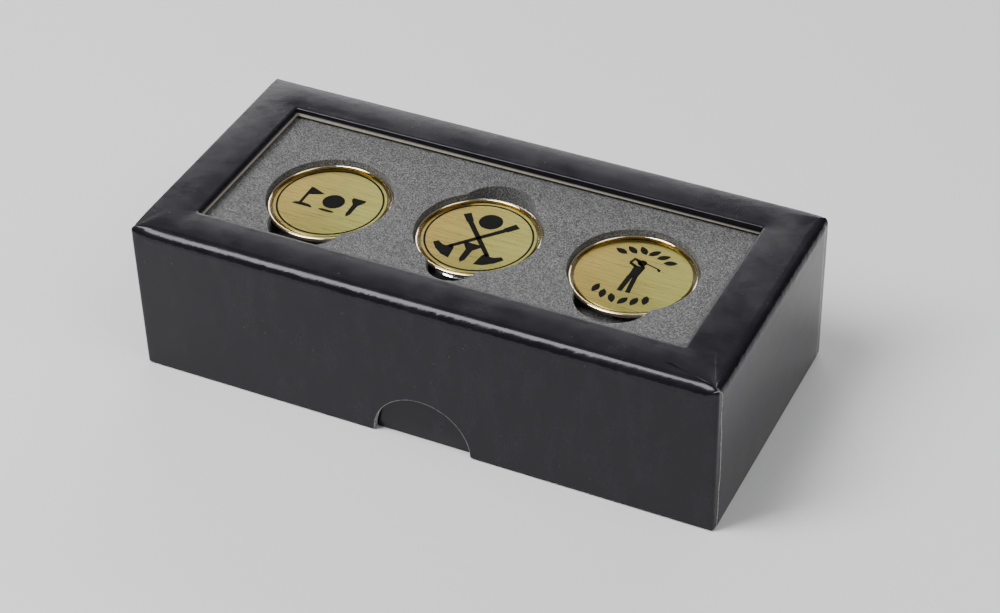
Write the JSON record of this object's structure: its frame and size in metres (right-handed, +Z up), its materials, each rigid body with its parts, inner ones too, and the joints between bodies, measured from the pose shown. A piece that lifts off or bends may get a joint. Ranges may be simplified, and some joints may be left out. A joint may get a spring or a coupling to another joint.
{
  "type": "ball marker",
  "caption": "Golf ball markers, each a rimmed gold dish with a brushed engraved disc, lying in foam in a windowed card gift box, with a magnetic hat clip.",
  "frame": {"origin": "middle of the box's underside, on the table", "axes": "+X along the box to the right end as seen from the thumb notch, +Y from the thumb notch to the back, +Z up"},
  "size_m": [0.127, 0.06, 0.035],
  "materials": {
    "black_paper": "semi-gloss coated",
    "grey_board": "raw",
    "stay_paper": "matte",
    "foam": "matte, fine-celled",
    "gold_plate": "polished",
    "brushed_brass": "brushed, engraved and filled black",
    "tape": "matte",
    "nickel_plate": "polished",
    "spring_steel": "satin",
    "magnet": "nickel-plated, satin"
  },
  "bodies": {
    "tray": {"tray_board": "grey_board", "tray_corner_stay_front_left": "stay_paper", "tray_corner_stay_front_right": "stay_paper", "tray_corner_stay_back_left": "stay_paper", "tray_corner_stay_back_right": "stay_paper", "tray_wrap": "black_paper", "foam_base": "foam", "foam_insert": "foam"},
    "lid": {"lid_board": "grey_board", "lid_corner_stay_front_left": "stay_paper", "lid_corner_stay_front_right": "stay_paper", "lid_corner_stay_back_left": "stay_paper", "lid_corner_stay_back_right": "stay_paper", "lid_wrap": "black_paper", "lid_window_liner": "grey_board"},
    "marker_left": {"marker_left_dish": "gold_plate", "marker_left_tape": "tape", "marker_left_disc": "brushed_brass"},
    "marker_middle": {"marker_middle_dish": "gold_plate", "marker_middle_tape": "tape", "marker_middle_disc": "brushed_brass"},
    "marker_right": {"marker_right_dish": "gold_plate", "marker_right_tape": "tape", "marker_right_disc": "brushed_brass"},
    "hat_clip": {"hat_clip_cup": "nickel_plate", "hat_clip_magnet": "magnet", "hat_clip_pin": "spring_steel"},
    "hat_clip_tongue": {"hat_clip_tongue": "spring_steel"}
  },
  "joints": [
    {"name": "lid_lift", "type": "slide", "parent": "tray", "child": "lid", "axis": [0, 0, 1], "range_m": [0, 0.045]},
    {"name": "marker_left_lift", "type": "slide", "parent": "tray", "child": "marker_left", "axis": [0, 0, 1], "range_m": [0, 0.025]},
    {"name": "marker_right_lift", "type": "slide", "parent": "tray", "child": "marker_right", "axis": [0, 0, 1], "range_m": [0, 0.025]},
    {"name": "hat_clip_lift", "type": "slide", "parent": "tray", "child": "hat_clip", "axis": [0, 0, 1], "range_m": [0, 0.03]},
    {"name": "marker_middle_lift", "type": "slide", "parent": "hat_clip", "child": "marker_middle", "axis": [0, 0, 1], "range_m": [0, 0.025]},
    {"name": "hat_clip_tongue_open", "type": "hinge", "parent": "hat_clip", "child": "hat_clip_tongue", "pos_m": [-0.00025, 0.01025, 0.0256], "axis": [1, 0, 0], "range_deg": [0, 15], "stiffness_Nm_per_rad": 0.05}
  ]
}
